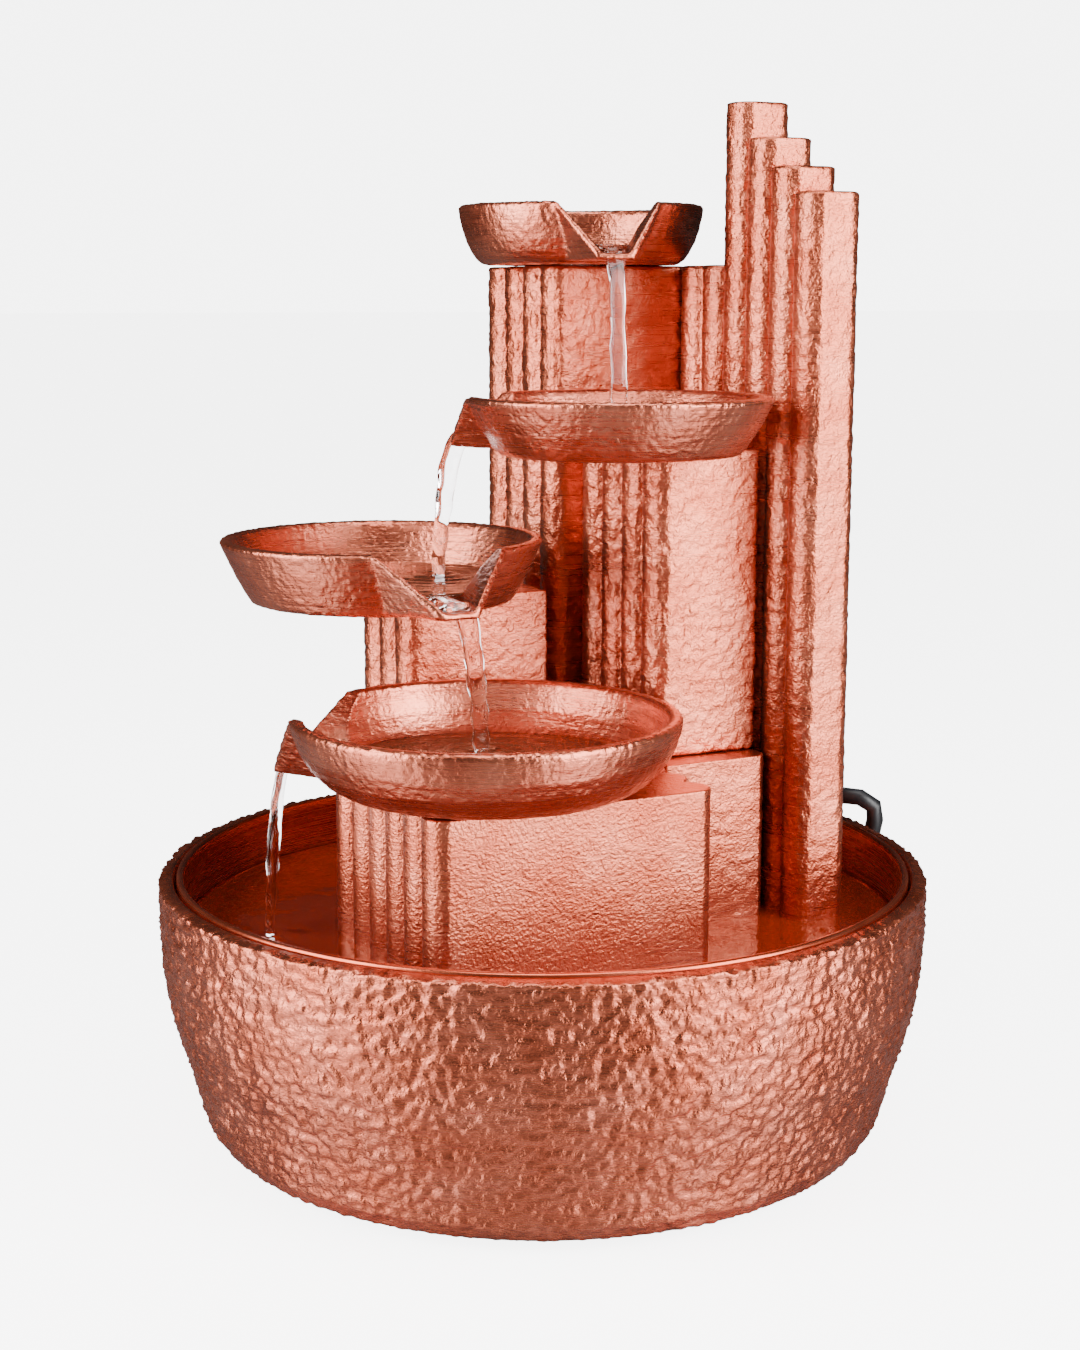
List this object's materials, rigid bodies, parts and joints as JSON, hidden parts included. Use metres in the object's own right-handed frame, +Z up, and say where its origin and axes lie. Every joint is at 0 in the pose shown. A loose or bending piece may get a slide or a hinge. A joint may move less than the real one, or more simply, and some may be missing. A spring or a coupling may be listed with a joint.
{
  "type": "tabletop water fountain",
  "caption": "Tabletop water fountain: round basin with a liner, a stepped fluted tower, spouted bowls that feed each other, and a small immersed pump with its cord.",
  "frame": {"origin": "on the table, on the basin's axis", "axes": "+Z up; -Y is the side that the tower's flat faces look to; the stepped columns stand at +X"},
  "size_m": [0.2601, 0.321, 0.3313],
  "materials": {
    "hammered_copper": "silk copper PLA with a hammered, fuzzy skin",
    "fluted_copper": "silk copper PLA, lightly textured",
    "smooth_copper": "silk copper PLA, smooth",
    "layered_copper": "silk copper PLA with fine horizontal layers",
    "black_rubber": "satin",
    "pump_plastic": "moulded",
    "clear_tube": "clear soft PVC",
    "shaft_steel": "ground",
    "rotor_magnet": "moulded round a ferrite magnet",
    "plug_brass": "plain"
  },
  "bodies": {
    "basin": {"outer_shell": "hammered_copper", "reservoir": "smooth_copper", "foot_1": "black_rubber", "foot_2": "black_rubber", "foot_3": "black_rubber", "foot_4": "black_rubber", "pump_motor_housing": "pump_plastic", "pump_chamber": "pump_plastic", "intake_cover": "pump_plastic", "rotor_shaft": "shaft_steel", "suction_cup_1": "clear_tube", "suction_cup_2": "clear_tube", "suction_cup_3": "clear_tube", "suction_cup_4": "clear_tube", "cord_strain_relief": "black_rubber", "cord": "black_rubber", "cord_coil": "black_rubber", "plug": "black_rubber", "plug_strain_relief": "black_rubber", "plug_blade_1": "plug_brass", "plug_blade_2": "plug_brass"},
    "tower": {"tower_base": "fluted_copper", "front_block": "fluted_copper", "ledge_block": "fluted_copper", "middle_column": "fluted_copper", "left_column": "fluted_copper", "stair_column_1": "fluted_copper", "stair_column_2": "fluted_copper", "stair_column_3": "fluted_copper", "stair_column_4": "fluted_copper", "rear_column": "fluted_copper", "riser_column": "fluted_copper", "bowl_1": "layered_copper", "bowl_2": "layered_copper", "bowl_3": "layered_copper", "bowl_4": "layered_copper", "riser_tube": "clear_tube"},
    "impeller": {"impeller": "rotor_magnet"},
    "flow_dial": {"flow_dial": "pump_plastic"}
  },
  "joints": [
    {"name": "tower_lift", "type": "slide", "parent": "basin", "child": "tower", "axis": [0, 0, 1], "range_m": [0, 0.12]},
    {"name": "impeller_spin", "type": "hinge", "parent": "basin", "child": "impeller", "pos_m": [0.044, 0.054, 0.0303], "axis": [0, 1, 0], "continuous": true},
    {"name": "flow_dial_turn", "type": "hinge", "parent": "basin", "child": "flow_dial", "pos_m": [0.044, 0.0396, 0.0303], "axis": [0, 1, 0], "range_deg": [0, 120]}
  ]
}
